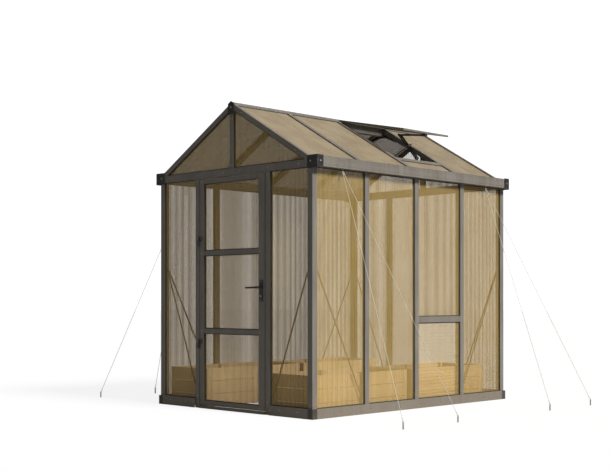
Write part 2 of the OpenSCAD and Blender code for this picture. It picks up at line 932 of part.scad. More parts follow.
module door_handle() {
    front = door_front - lever_out;
    color(plastic_colour) {
        lever(front - lever_t);
        lever(door_back + lever_out);
        translate([handle_x, front, handle_h]) rotate([-90, 0, 0])
            cylinder(r = spindle_r, h = door_t + 2 * lever_out);
    }
}

base_sills();
base_corners();
threshold();
corner_posts();
wall_posts();
door_jambs();
back_posts();
gable_beams();
king_posts();
gutter_right();
gutter_left();
eave_corners();
ridge_beam();
ridge_ends();
gable_rafters();
roof_rafters();
mid_rail();
vent_transom();
wall_sheets_right();
low_sheet();
wall_sheets_left();
front_sheets();
back_sheets();
gable_sheets();
roof_sheets_right();
roof_sheets_left();
wall_braces();
vent_leaf_frame();
vent_leaf_sheet();
vent_opener_brackets();
vent_opener_arms();
vent_opener_cylinder();
beds_right();
beds_left();
rope_hooks();
guy_ropes();
ground_pegs();
jamb_hinges();
door_stiles();
door_rails();
door_sheets();
door_hinges();
handle_plates();
door_handle();
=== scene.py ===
import math

import bpy
import numpy as np
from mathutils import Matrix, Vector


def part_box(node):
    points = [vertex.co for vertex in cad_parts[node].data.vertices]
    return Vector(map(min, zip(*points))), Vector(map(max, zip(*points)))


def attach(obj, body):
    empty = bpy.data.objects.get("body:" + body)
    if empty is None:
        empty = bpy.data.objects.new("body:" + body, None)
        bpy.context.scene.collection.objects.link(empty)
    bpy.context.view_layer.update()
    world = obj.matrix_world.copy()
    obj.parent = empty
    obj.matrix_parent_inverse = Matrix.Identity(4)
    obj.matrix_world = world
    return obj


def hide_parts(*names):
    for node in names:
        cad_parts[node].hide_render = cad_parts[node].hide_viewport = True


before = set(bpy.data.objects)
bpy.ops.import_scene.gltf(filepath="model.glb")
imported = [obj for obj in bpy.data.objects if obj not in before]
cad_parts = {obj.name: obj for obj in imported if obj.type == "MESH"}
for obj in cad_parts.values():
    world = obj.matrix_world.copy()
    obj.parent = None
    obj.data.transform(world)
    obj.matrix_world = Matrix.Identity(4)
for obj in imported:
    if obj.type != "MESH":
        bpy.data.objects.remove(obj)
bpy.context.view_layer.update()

# ---- Powder-coated bars ----
# Sills, posts, beams, rafters, gutters, rails and stiles are aluminium extrusions with a satin,
# warm grey powder coat. They are mitred or butted and screwed, and the rain leaves dust on them.


class Value:
    """A shader value, so that patterns are written as sums and products."""

    def __init__(self, tree, socket=None):
        self.tree = tree
        self.socket = socket

    def node(self, kind, settings, inputs, output=0):
        """Adds any node. An input is a number, a colour or another value."""
        made = self.tree.nodes.new(kind)
        for name, setting in settings.items():
            setattr(made, name, setting)
        for name, given in inputs.items():
            if isinstance(given, Value):
                self.tree.links.new(given.socket, made.inputs[name])
            else:
                made.inputs[name].default_value = given
        return Value(self.tree, made.outputs[output])

    def maths(self, operation, *inputs):
        return self.node("ShaderNodeMath", {"operation": operation}, dict(enumerate(inputs)))

    def __add__(self, other):
        return self.maths("ADD", self, other)

    def __mul__(self, other):
        return self.maths("MULTIPLY", self, other)

    def __sub__(self, other):
        return self.maths("SUBTRACT", self, other)

    def __rsub__(self, other):
        return self.maths("SUBTRACT", other, self)

    __radd__ = __add__
    __rmul__ = __mul__

    def stretch(self, *factors):
        """This place with its axes scaled, so that a pattern on it runs long."""
        return self.node("ShaderNodeVectorMath", {"operation": "MULTIPLY"}, {0: self, 1: factors})

    def axis(self, number):
        return self.node("ShaderNodeSeparateXYZ", {}, {0: self}, number)

    def noise(self, scale, detail=3.0):
        return self.node("ShaderNodeTexNoise", {}, {"Vector": self, "Scale": scale, "Detail": detail})

    def between(self, low, high):
        """0 under low, 1 over high, and a straight rise between them."""
        return self.node("ShaderNodeMapRange", {}, {"Value": self, "From Min": low, "From Max": high})

    def mix(self, first, second):
        """The first colour where this is 0, the second where it is 1."""
        ends = [c if isinstance(c, Value) else (*c, 1.0) for c in (first, second)]
        return self.node("ShaderNodeMix", {"data_type": "RGBA"}, {0: self, 6: ends[0], 7: ends[1]}, 2)


def new_finish(name):
    """A material, and the place value that its patterns are drawn on."""
    finish = bpy.data.materials.new(name)
    finish.use_nodes = True
    return finish, Value(finish.node_tree).node("ShaderNodeTexCoord", {}, {}, "Object")


def close_finish(finish, colour, roughness, height, depth, **constants):
    """Joins the patterns to the surface. The height pattern becomes a bump of that depth."""
    tree = finish.node_tree
    surface = tree.nodes["Principled BSDF"]
    tree.links.new(colour.socket, surface.inputs["Base Color"])
    tree.links.new(roughness.socket, surface.inputs["Roughness"])
    bump = height.node("ShaderNodeBump", {}, {"Height": height, "Distance": depth, "Strength": 0.6})
    tree.links.new(bump.socket, surface.inputs["Normal"])
    for name, constant in constants.items():
        surface.inputs[name.replace("_", " ")].default_value = constant
    return finish


def dress(nodes, finish, edge):
    """Gives CAD nodes their finish, and a small round on every edge."""
    for name in nodes:
        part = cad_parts[name]
        part.data.materials.clear()
        part.data.materials.append(finish)
        weld = part.modifiers.new("weld", "WELD")
        weld.merge_threshold = 0.00002
        if edge:
            bevel = part.modifiers.new("edges", "BEVEL")
            bevel.width = edge
            bevel.segments = 2
            bevel.limit_method = "ANGLE"
            bevel.angle_limit = math.radians(40)
            bevel.harden_normals = True


def splash(place):
    """Dirt that the rain throws up: 1 at the ground and 0 above knee height."""
    ragged = place.axis(2) + 0.12 * place.noise(9.0)
    return 1.0 - ragged.between(0.05, 0.30)


bar_finish, place = new_finish("powder_coat")
streaks = place.stretch(1.0, 1.0, 0.06).noise(38.0, 4.0).between(0.42, 0.78)
clouds = place.noise(3.2).between(0.35, 0.70)
grain = place.noise(900.0, 2.0)
coat = clouds.mix((0.108, 0.096, 0.080), (0.132, 0.118, 0.099))
coat = (0.22 * streaks).mix(coat, (0.27, 0.235, 0.185))
coat = (0.55 * splash(place)).mix(coat, (0.16, 0.125, 0.085))
coat = (0.25 * place.noise(260.0, 2.0).between(0.62, 0.72)).mix(coat, (0.50, 0.47, 0.40))
close_finish(bar_finish, coat, 0.40 + 0.18 * streaks + 0.08 * grain, grain + 0.5 * streaks, 0.0004,
             Metallic=0.15)
bar_nodes = [
    "base_sills", "threshold", "corner_posts", "wall_posts", "door_jambs", "back_posts",
    "gable_beams", "king_posts", "gutter_right", "gutter_left", "ridge_beam", "gable_rafters",
    "roof_rafters", "mid_rail", "vent_transom", "door_stiles", "door_rails", "vent_leaf_frame",
]
dress(bar_nodes, bar_finish, 0.0014)

# ---- Black plastic connectors ----
# The corner pieces, eave corners, ridge ends and the opener's brackets and arms are moulded in
# black plastic with a fine grain. They are pushed on or screwed, and dust greys their top edges.
plastic_finish, place = new_finish("moulded_plastic")
dust = place.noise(24.0, 4.0).between(0.50, 0.80)
moulded = (0.5 * dust).mix((0.011, 0.010, 0.009), (0.055, 0.050, 0.042))
moulded = (0.5 * splash(place)).mix(moulded, (0.075, 0.060, 0.042))
grain = place.noise(1300.0, 1.0)
close_finish(plastic_finish, moulded, 0.42 + 0.25 * dust, grain, 0.0003)
plastic_nodes = [
    "base_corners", "eave_corners", "ridge_ends", "vent_opener_brackets", "vent_opener_arms",
    "jamb_hinges", "door_hinges", "handle_plates",
]
dress(plastic_nodes, plastic_finish, 0.0012)

# ---- Twin-wall sheets ----
# Six millimetre bronze polycarbonate: two skins with ribs between them, cut to size and slid
# into the bars' grooves. The ribs stand upright, run down the roof, and lie flat in the low sheet.


def box(low, high):
    """A block between two opposite corners, as points and faces."""
    x, y, z = zip(low, high)
    points = [(a, b, c) for a in x for b in y for c in z]
    faces = [(0, 1, 3, 2), (4, 6, 7, 5), (0, 4, 5, 1), (2, 3, 7, 6), (0, 2, 6, 4), (1, 5, 7, 3)]
    return points, faces


def piece(name, shapes, finish, body="greenhouse", edge=0.0, replaced=()):
    """One object out of many shapes, with its finish and the body it rides on."""
    points = []
    faces = []
    for shape_points, shape_faces in shapes:
        start = len(points)
        points.extend(tuple(float(v) for v in p) for p in shape_points)
        faces.extend(tuple(start + i for i in face) for face in shape_faces)
    mesh = bpy.data.meshes.new(name)
    mesh.from_pydata(points, [], faces)
    mesh.materials.append(finish)
    mesh.shade_smooth()
    mesh.set_sharp_from_angle(angle=math.radians(38))
    made = bpy.data.objects.new(name, mesh)
    bpy.context.scene.collection.objects.link(made)
    if edge:
        bevel = made.modifiers.new("edges", "BEVEL")
        bevel.width = edge
        bevel.segments = 2
        bevel.limit_method = "ANGLE"
        bevel.angle_limit = math.radians(40)
    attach(made, body)
    if replaced:
        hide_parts(*replaced)
    return made


def flip(shapes, axis):
    """The same shapes mirrored through the middle of the house, left for right (0) or 1."""
    signs = np.ones(3)
    signs[axis] = -1
    return [(np.array(points) * signs, [face[::-1] for face in faces]) for points, faces in shapes]


def slope(x, depth=0.0):
    """Height of the right roof at x, at a depth under the rafters' top."""
    return 2.4625 - abs(x) * math.tan(math.radians(30)) - depth / math.cos(math.radians(30))


def sheet_finish(name, axis, tint, shade, alpha):
    """The skin of a sheet: ribs along one axis, faint streaks, dust and water marks."""
    finish, place = new_finish(name)
    across = place.axis(axis)
    ribs = (across * (2 * math.pi / 0.028)).maths("SINE")
    lengths = [1.0, 1.0, 1.0]
    for other in range(3):
        if other != axis:
            lengths[other] = 0.03
    streaks = place.stretch(*lengths).noise(60.0, 4.0).between(0.35, 0.70)
    marks = place.noise(5.0, 5.0).between(0.40, 0.75)
    colour = streaks.mix(tint, shade)
    colour = (0.38 * (ribs + 1.0)).mix(colour, tuple(0.40 * c for c in shade))
    colour = (0.18 * marks).mix(colour, (0.64, 0.54, 0.36))
    close_finish(finish, colour, 0.22 + 0.20 * marks, ribs + 0.1 * streaks, 0.0006,
                 Alpha=alpha, Coat_Weight=0.3, Coat_Roughness=0.12)
    finish.surface_render_method = "BLENDED"
    return finish


wall_tint = (0.78, 0.55, 0.19)
wall_shade = (0.46, 0.31, 0.09)
side_skin = sheet_finish("side_wall_sheet", 1, wall_tint, wall_shade, 0.27)
# The end, gable and door sheets are the same plastic as the side sheets, but their tint is painted brighter. This is
# a painted glow that stands in for sunlight shining through them from inside the house.
end_skin_painted_glow = sheet_finish("end_wall_sheet_painted_glow", 0, (0.95, 0.67, 0.22), (0.72, 0.48, 0.13), 0.20)
low_skin = sheet_finish("flat_laid_sheet", 2, wall_tint, wall_shade, 0.27)
roof_skin = sheet_finish("roof_sheet", 1, (0.62, 0.50, 0.33), (0.50, 0.39, 0.24), 0.56)
skins = {
    "wall_sheets_right": side_skin, "wall_sheets_left": side_skin, "low_sheet": low_skin,
    "front_sheets": end_skin_painted_glow, "back_sheets": end_skin_painted_glow, "gable_sheets": end_skin_painted_glow,
    "door_sheets": end_skin_painted_glow, "vent_leaf_sheet": side_skin,
    "roof_sheets_right": roof_skin, "roof_sheets_left": roof_skin,
}
for name, skin in skins.items():
    dress([name], skin, 0)

# ---- Ribs inside the sheets ----
# Between a sheet's two skins stand thin ribs of the same plastic, every second one heavier. They
# run the whole length of the sheet and show as fine stripes.
rib_finish, place = new_finish("sheet_ribs")
milky = place.stretch(1.0, 1.0, 0.1).noise(80.0)
rib_colour = milky.mix((0.42, 0.28, 0.08), (0.22, 0.14, 0.04))
close_finish(rib_finish, rib_colour, 0.35 + 0.2 * milky, milky, 0.0003, Alpha=0.52)
rib_finish.surface_render_method = "BLENDED"
roof_rib_finish, place = new_finish("roof_sheet_ribs")
milky = place.stretch(0.1, 1.0, 0.1).noise(80.0)
rib_colour = milky.mix((0.30, 0.24, 0.14), (0.18, 0.14, 0.08))
close_finish(roof_rib_finish, rib_colour, 0.35 + 0.2 * milky, milky, 0.0003, Alpha=0.7)
roof_rib_finish.surface_render_method = "BLENDED"


def rib_places(start, end):
    """Where the ribs of one sheet stand, with half the thickness of each."""
    count = int((end - start) / 0.014)
    first = (start + end - (count - 1) * 0.014) / 2
    return [(first + 0.014 * i, 0.0011 if i % 2 else 0.0004) for i in range(count)]


def prism(outline, axis, low, high):
    """A flat outline in the two other axes, made thick along this one."""
    points = []
    for level in (low, high):
        for a, b in outline:
            point = [a, b]
            point.insert(axis, level)
            points.append(point)
    count = len(outline)
    area = sum(outline[i - 1][0] * outline[i][1] - outline[i][0] * outline[i - 1][1]
               for i in range(count))
    faces = [tuple(range(count))[::-1], tuple(range(count, 2 * count))]
    faces += [(i, (i + 1) % count, (i + 1) % count + count, i + count) for i in range(count)]
    if (area > 0) == (axis == 1):
        faces = [face[::-1] for face in faces]
    return points, faces


bay_ends = [(-1.175, -0.6375), (-0.5875, -0.025), (0.025, 0.5875), (0.6375, 1.175)]
side_panes = [(y0, y1, 0.075, 1.882) for y0, y1 in bay_ends]
right_panes = [p for i, p in enumerate(side_panes) if i != 2] + [(0.025, 0.5875, 0.750, 1.882)]
side_ribs = []
for y0, y1, z0, z1 in right_panes:
    for y, half in rib_places(y0 - 0.01, y1 + 0.01):
        side_ribs.append(box((0.8874, y - half, z0 - 0.009), (0.8926, y + half, z1 + 0.009)))
for z, half in rib_places(0.08, 0.705):
    side_ribs.append(box((0.8874, 0.015, z - half), (0.8926, 0.5975, z + half)))
left_ribs = []
for y0, y1, z0, z1 in side_panes:
    for y, half in rib_places(y0 - 0.01, y1 + 0.01):
        left_ribs.append(box((-0.8926, y - half, z0), (-0.8874, y + half, z1 + 0.009)))
piece("side_sheet_ribs", side_ribs + left_ribs, rib_finish)
front_panes = [(0.445, 0.855, 0.075, 1.882)]
end_ribs = []
for x0, x1, z0, z1 in front_panes:
    for x, half in rib_places(x0 - 0.01, x1 + 0.01):
        end_ribs.append(box((x - half, -1.2126, z0 + 0.001), (x + half, -1.2074, z1 + 0.009)))
for x, half in rib_places(0.012, 0.83):
    top = slope(x + half) - 0.0462 + 0.008
    if top > 1.94:
        end_ribs.append(box((x - half, -1.2126, 1.931), (x + half, -1.2074, top)))
end_ribs += flip(end_ribs, 0)
end_ribs += flip(end_ribs, 1)
for x, half in rib_places(-0.405, 0.405):
    end_ribs.append(box((x - half, 1.2074, 0.076), (x + half, 1.2126, 1.891)))
piece("end_sheet_ribs", end_ribs, rib_finish)
door_panes = [(-0.339, 0.314, 0.064, 0.616), (-0.339, 0.314, 0.654, 1.251), (-0.339, 0.314, 1.289, 1.838)]
door_ribs = []
for x0, x1, z0, z1 in door_panes:
    for x, half in rib_places(x0 - 0.01, x1 + 0.01):
        door_ribs.append(box((x - half, -1.2126, z0 - 0.009), (x + half, -1.2074, z1 + 0.009)))
piece("door_sheet_ribs", door_ribs, rib_finish, "door")
roof_bays = [(-1.193, -0.635), (-0.590, -0.0225), (0.0225, 0.590), (0.635, 1.193)]
roof_ribs = []
for side in (1, -1):
    for i, (y0, y1) in enumerate(roof_bays):
        x0 = 0.692 if side == 1 and i == 2 else 0.022
        band = [(x0, slope(x0, 0.0084)), (0.9268, slope(0.9268, 0.0084)),
                (0.9268, slope(0.9268, 0.0136)), (x0, slope(x0, 0.0136))]
        for y, half in rib_places(y0 - 0.008, y1 + 0.008):
            rib = [prism(band, 1, y - half, y + half)]
            roof_ribs += rib if side == 1 else flip(rib, 0)
piece("roof_sheet_ribs", roof_ribs, roof_rib_finish)

# ---- Rubber gaskets ----
# A black rubber lip is pressed between each bar and the sheet beside it, inside and outside.
rubber_finish, place = new_finish("gasket_rubber")
bloom = place.noise(70.0, 3.0).between(0.45, 0.75)
rubber = (0.5 * bloom).mix((0.010, 0.010, 0.010), (0.045, 0.042, 0.038))
close_finish(rubber_finish, rubber, 0.62 + 0.2 * bloom, bloom, 0.0003)
lip = 0.0065


def surround(axis, deep, near, pane, width=lip):
    """Four strips round a pane that faces along X (0) or Y (1)."""
    u0, u1, v0, v1 = pane
    runs = [(u0, u0 + width, v0, v1), (u1 - width, u1, v0, v1),
            (u0 + width, u1 - width, v0, v0 + width), (u0 + width, u1 - width, v1 - width, v1)]
    strips = []
    for a, b, c, d in runs:
        low, high = [a, c], [b, d]
        low.insert(axis, deep)
        high.insert(axis, near)
        strips.append(box(low, high))
    return strips


gaskets = []
for pane in right_panes + [(0.025, 0.5875, 0.075, 0.700)]:
    gaskets += surround(0, 0.8932, 0.8975, pane) + surround(0, 0.8825, 0.8868, pane)
left_gaskets = []
for pane in side_panes:
    left_gaskets += surround(0, 0.8932, 0.8975, pane) + surround(0, 0.8825, 0.8868, pane)
gaskets += flip(left_gaskets, 0)
end_gaskets = surround(1, -1.2175, -1.2132, front_panes[0]) + surround(1, -1.2068, -1.2025, front_panes[0])
for near, deep in ((-1.2175, -1.2132), (-1.2068, -1.2025)):
    end_gaskets.append(prism([(0.022, 1.940), (0.8, 1.940), (0.8, 1.940 + lip), (0.022, 1.940 + lip)],
                             1, near, deep))
    end_gaskets.append(prism([(0.022, 1.947), (0.0285, 1.947), (0.0285, slope(0.0285) - 0.0465),
                              (0.022, slope(0.022) - 0.0465)], 1, near, deep))
    end_gaskets.append(prism([(0.029, slope(0.029) - 0.0465), (0.029, slope(0.029) - 0.0545),
                              (0.80, slope(0.80) - 0.0545), (0.80, slope(0.80) - 0.0465)], 1, near, deep))
end_gaskets += flip(end_gaskets, 0)
gaskets += end_gaskets + flip(end_gaskets, 1)
back_pane = (-0.395, 0.395, 0.075, 1.882)
gaskets += surround(1, 1.2132, 1.2175, back_pane) + surround(1, 1.2025, 1.2068, back_pane)
for side in (1, -1):
    for i, (y0, y1) in enumerate(roof_bays):
        x0 = 0.7003 if side == 1 and i == 2 else 0.0303
        for a, b in ((y0, y0 + lip), (y1 - lip, y1)):
            strip = [prism([(x0, slope(x0, 0.0035)), (0.927, slope(0.927, 0.0035)),
                            (0.927, slope(0.927, 0.0078)), (x0, slope(x0, 0.0078))], 1, a, b)]
            gaskets += strip if side == 1 else flip(strip, 0)
        strip = [prism([(x0, slope(x0, 0.0035)), (x0 + lip, slope(x0 + lip, 0.0035)),
                        (x0 + lip, slope(x0 + lip, 0.0078)), (x0, slope(x0, 0.0078))],
                       1, y0 + lip, y1 - lip)]
        gaskets += strip if side == 1 else flip(strip, 0)
piece("house_gaskets", gaskets, rubber_finish)
door_gaskets = []
for pane in door_panes:
    door_gaskets += surround(1, -1.2175, -1.2132, pane) + surround(1, -1.2068, -1.2025, pane)
piece("door_gaskets", door_gaskets, rubber_finish, "door")

# ---- Screws and bolts ----
# Pan-head screws of zinc-plated steel join the bars: two at each end of a post, one where a rail
# meets a stile, and a row along the sills. Their heads have a six-sided recess.
steel_finish, place = new_finish("zinc_steel")
spangle = place.node("ShaderNodeTexVoronoi", {}, {"Vector": place, "Scale": 420.0}, "Distance")
tarnish = place.noise(45.0, 4.0).between(0.45, 0.75)
zinc = spangle.mix((0.36, 0.35, 0.33), (0.24, 0.235, 0.23))
zinc = (0.5 * tarnish).mix(zinc, (0.14, 0.11, 0.08))
close_finish(steel_finish, zinc, 0.34 + 0.3 * tarnish, spangle, 0.0002, Metallic=0.7)


def turned(origin, direction, profile, sides=14, hollow=False):
    """A round piece: rings of (height, radius) along a direction. A hollow one closes on itself."""
    origin = np.array(origin, float)
    along = np.array(direction, float)
    along /= np.linalg.norm(along)
    across = np.cross(along, (0.31, 0.95, 0.11) if abs(along[1]) < 0.9 else (1.0, 0.1, 0.2))
    across /= np.linalg.norm(across)
    beside = np.cross(along, across)
    turns = np.arange(sides) * 2 * math.pi / sides
    points = []
    for height, radius in profile:
        for turn in turns:
            points.append(origin + along * height
                          + radius * (math.cos(turn) * across + math.sin(turn) * beside))
    rings = len(profile)
    faces = []
    for ring in range(rings if hollow else rings - 1):
        above = (ring + 1) % rings
        for i in range(sides):
            j = (i + 1) % sides
            faces.append((ring * sides + i, ring * sides + j, above * sides + j, above * sides + i))
    if not hollow:
        faces.append(tuple(range(sides))[::-1])
        faces.append(tuple(range((rings - 1) * sides, rings * sides)))
    return points, faces


def screw(place, direction, size=0.0055):
    """A pan head that sits on a face."""
    profile = [(0.0, size), (0.35 * size, size), (0.62 * size, 0.78 * size),
               (0.68 * size, 0.48 * size), (0.3 * size, 0.44 * size)]
    return turned(place, direction, profile, 12)


screws = []
for y in (-1.2, -0.6125, 0.0, 0.6125, 1.2):
    for z in (0.098, 1.858):
        for shift in (-0.012, 0.012):
            screws.append(screw((0.905, y + shift, z), (1, 0, 0)))
    screws.append(screw((0.917, y - 0.03 if y > 0 else y + 0.03, 0.045), (1, 0, 0), 0.0065))
for y in (-0.92, -0.31, 0.31, 0.92):
    screws.append(screw((0.917, y, 0.045), (1, 0, 0), 0.0065))
    screws.append(screw((0.955, y, 1.925), (1, 0, 0), 0.005))
for x, z in ((0.42, 0.10), (0.42, 1.86), (0.88, 0.10), (0.88, 1.86), (0.42, 1.911), (0.76, 1.911),
             (0.10, 1.911), (0.012, 1.965), (0.012, 2.34), (0.12, 2.368), (0.72, 2.02)):
    screws.append(screw((x, -1.225, z), (0, -1, 0)))
for x in (0.46, 0.56, 0.76):
    screws.append(screw((x, -1.237, 0.045), (0, -1, 0), 0.0065))
tilt = (math.sin(math.radians(30)), 0, math.cos(math.radians(30)))
for y in (-1.209, -0.6125, 0.0, 0.6125, 1.209):
    for x in (0.052, 0.47, 0.87):
        screws.append(screw((x, y, slope(x)), tilt, 0.006))
screws += flip(screws, 0)
screws += flip([s for s in screws if -1.23 < s[0][0][1] < -1.22], 1)
for y in (0.05, 0.56):
    screws.append(screw((0.905, y, 0.725), (1, 0, 0)))
piece("house_screws", screws, steel_finish)
door_screws = []
for z in (0.045, 0.635, 1.27, 1.857):
    door_screws.append(screw((-0.364, -1.225, z), (0, -1, 0)))
    door_screws.append(screw((0.335, -1.225, z), (0, -1, 0)))
for z in (0.886, 1.033):
    door_screws.append(screw((0.3515, -1.229, z), (0, -1, 0), 0.0045))
    door_screws.append(screw((0.3515, -1.191, z), (0, 1, 0), 0.0045))
for z in (0.545, 0.560, 1.385, 1.400):
    door_screws.append(screw((-0.372, -1.2275, z), (0, -1, 0), 0.004))
piece("door_screws", door_screws, steel_finish, "door")
hinge_screws = [screw((-0.412, -1.2275, z), (0, -1, 0), 0.004) for z in (0.500, 0.515, 1.340, 1.355)]
piece("hinge_screws", hinge_screws, steel_finish)
dress(["vent_opener_cylinder"], steel_finish, 0.0008)

# ---- Corner braces ----
# Flat strips of dark coated steel run down the end bays on the inside, and a bolt through a
# washer holds each end.
brace_finish, place = new_finish("dark_steel")
scuff = place.noise(120.0, 4.0).between(0.60, 0.75)
dark = (0.4 * scuff).mix((0.010, 0.009, 0.008), (0.09, 0.08, 0.07))
close_finish(brace_finish, dark, 0.40 + 0.2 * scuff, scuff, 0.0002, Metallic=0.3)
dress(["wall_braces"], brace_finish, 0.0008)
brace_bolts = []
for y, z in ((-1.168, 1.160), (-0.648, 0.100)):
    brace_bolts.append(turned((0.879, y, z), (1, 0, 0), [(0, 0.008), (0.0015, 0.008), (0.0015, 0.0055),
                                                        (0.005, 0.005), (0.006, 0.002)]))
for x, z in ((0.848, 1.160), (0.456, 0.100)):
    brace_bolts.append(turned((x, -1.199, z), (0, -1, 0), [(0, 0.008), (0.0015, 0.008), (0.0015, 0.0055),
                                                          (0.005, 0.005), (0.006, 0.002)]))
brace_bolts += flip(brace_bolts, 0)
brace_bolts += flip(brace_bolts, 1)
piece("brace_bolts", brace_bolts, steel_finish)

# ---- Gutters ----
# Each trough's outer edge is rolled into a bead, and a raised line runs along its face.
gutter_trim = []
for y0, y1 in ((-1.222, 1.222),):
    gutter_trim.append(turned((0.9535, y0, 1.9605), (0, 1, 0), [(0, 0.0032), (y1 - y0, 0.0032)], 12))
    gutter_trim.append(box((0.9545, y0, 1.900), (0.9562, y1, 1.9035)))
    gutter_trim.append(box((0.9545, y0, 1.942), (0.9562, y1, 1.9450)))
gutter_trim += flip(gutter_trim, 0)
piece("gutter_beads", gutter_trim, bar_finish, edge=0.0006)

# ---- Connector details ----
# The plastic corners have raised ribs for stiffness and a bolt through each face.
base_ribs = []
for z in (0.018, 0.038, 0.058):
    base_ribs.append(box((0.872, -1.2385, z - 0.002), (0.912, -1.2365, z + 0.002)))
    base_ribs.append(box((0.9165, -1.232, z - 0.002), (0.9185, -1.192, z + 0.002)))
piece("base_corner_ribs", base_ribs + flip(base_ribs, 0), plastic_finish, edge=0.0006)
knobs = []
for z in (1.893, 1.952):
    knobs.append(box((0.862, -1.2335, z - 0.002), (0.952, -1.2310, z + 0.002)))
    knobs.append(box((0.9610, -1.222, z - 0.002), (0.9630, -1.172, z + 0.002)))
knobs += flip(knobs, 0)
knobs += flip(knobs, 1)
piece("eave_corner_ribs", knobs, plastic_finish, edge=0.0006)
corner_bolts = [screw((0.89, -1.2313, 1.922), (0, -1, 0), 0.0075),
                screw((0.9613, -1.197, 1.922), (1, 0, 0), 0.0075)]
corner_bolts += flip(corner_bolts, 0)
corner_bolts += flip(corner_bolts, 1)
for end in (-1, 1):
    corner_bolts.append(screw((0, end * 1.2313, 2.425), (0, end, 0), 0.0075))
piece("corner_bolts", corner_bolts, steel_finish)

# ---- Ridge gussets ----
# Under the ridge beam a moulded plastic arch ties each pair of rafters together.
gussets = []
for y in (-0.6125, 0.0, 0.6125):
    top = [(x, slope(x) - 0.0466) for x in (0.0305, 0.178)]
    arch = [(0.178, slope(0.178) - 0.052), (0.160, 2.3130), (0.120, 2.3300), (0.085, 2.3460),
            (0.055, 2.3580), (0.0305, 2.3640)]
    side = [prism(top + arch, 1, y - 0.006, y + 0.006),
            prism([(x, z - 0.001) for x, z in arch] + [(x, z + 0.004) for x, z in arch[::-1]],
                  1, y - 0.012, y + 0.012)]
    gussets += side + flip(side, 0)
    gussets.append(box((-0.030, y - 0.012, 2.3630), (0.030, y + 0.012, 2.3748)))
piece("ridge_gussets", gussets, plastic_finish, edge=0.001)

# ---- Roof vent opener ----
# A wax cylinder pushes two pairs of arms open. It has a threaded rod with a nut, a return spring, and rivets at the
# joints of the arms; four rings round the cylinder and the spring are drawn here.


def tube(path, radius, sides=8):
    """A round bar bent along a path of points."""
    path = np.array(path, float)
    along = np.gradient(path, axis=0)
    along /= np.linalg.norm(along, axis=1)[:, None]
    across = np.cross(along, (0.13, 0.27, 0.95))
    across /= np.linalg.norm(across, axis=1)[:, None]
    beside = np.cross(along, across)
    turns = np.arange(sides) * 2 * math.pi / sides
    rings = (path[:, None, :] + radius * (np.cos(turns)[None, :, None] * across[:, None, :]
                                          + np.sin(turns)[None, :, None] * beside[:, None, :]))
    faces = []
    for ring in range(len(path) - 1):
        for i in range(sides):
            j = (i + 1) % sides
            faces.append((ring * sides + i, ring * sides + j,
                          (ring + 1) * sides + j, (ring + 1) * sides + i))
    faces.append(tuple(range(sides))[::-1])
    faces.append(tuple(range((len(path) - 1) * sides, len(path) * sides)))
    return rings.reshape(-1, 3), faces


def loop(centre, normal, major, minor, sides=24):
    """A closed ring of round wire."""
    return turned(centre, normal,
                  [(minor * math.sin(a), major + minor * math.cos(a))
                   for a in np.arange(8) * 2 * math.pi / 8], sides, True)


low_arms, high_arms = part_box("vent_opener_arms")
low_tube, high_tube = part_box("vent_opener_cylinder")
vent_mid = 0.30625
fittings = []
# The cylinder lies at 27 degrees in the middle of the vent, so its two ends are known.
tube_along = np.array((math.cos(math.radians(27)), 0, math.sin(math.radians(27))))
tube_top = np.array((high_tube[0] - 0.005, vent_mid, high_tube[2] - 0.008))
tube_foot = np.array((low_tube[0] + 0.006, vent_mid, low_tube[2] + 0.010))
span = np.linalg.norm(tube_top - tube_foot)
real_along = (tube_top - tube_foot) / span
for share in (0.04, 0.10, 0.70, 0.76):
    fittings.append(turned(tube_foot + real_along * span * share, real_along,
                           [(0, 0.0122), (0.006, 0.0128), (0.008, 0.0122)], 16))
spring = []
for i in range(160):
    turn = i * 2 * math.pi / 16
    centre = tube_foot + real_along * span * (0.78 + 0.18 * i / 160)
    upright = np.cross(real_along, (0, 1, 0))
    spring.append(centre + 0.0085 * (math.cos(turn) * np.array((0, 1, 0)) + math.sin(turn) * upright))
fittings.append(tube(spring, 0.0011, 6))
piece("opener_fittings", fittings, steel_finish)

# ---- Raised timber beds ----
# Each bed has three planed pine boards a side, nailed to square posts at its corners and middles.
# The wood is untreated, with knots, and its foot is darker from the soil.


def pine(name, long_axis):
    """Pine with its grain along one axis. Every board has its own tone."""
    finish, place = new_finish(name)
    board = (place.axis(2) * (1 / 0.1065)).maths("FLOOR")
    tone = place.node("ShaderNodeTexWhiteNoise", {"noise_dimensions": "1D"},
                      {"W": board + 7.0 * place.axis(0).maths("SIGN") + 3.0 * place.axis(1).maths("SIGN")})
    lengths = [1.0, 1.0, 1.0]
    lengths[long_axis] = 0.05
    wavy = place.stretch(*lengths)
    warp = wavy.noise(11.0, 2.0)
    rings = ((warp * 46.0) + (3.0 * tone)).maths("SINE").between(-1.0, 1.0)
    fibre = wavy.noise(520.0, 2.0)
    knots = place.node("ShaderNodeTexVoronoi", {}, {"Vector": place.stretch(1.0, 1.0, 1.6), "Scale": 7.5},
                       "Distance").between(0.07, 0.02)
    colour = rings.mix((0.60, 0.40, 0.19), (0.72, 0.50, 0.26))
    colour = (0.35 * fibre).mix(colour, (0.50, 0.30, 0.12))
    colour = (0.45 * tone).mix(colour, (0.74, 0.55, 0.31))
    colour = (0.8 * knots).mix(colour, (0.20, 0.10, 0.045))
    colour = (0.6 * splash(place)).mix(colour, (0.33, 0.21, 0.10))
    return close_finish(finish, colour, 0.55 + 0.15 * fibre, fibre + 0.6 * rings, 0.0009)


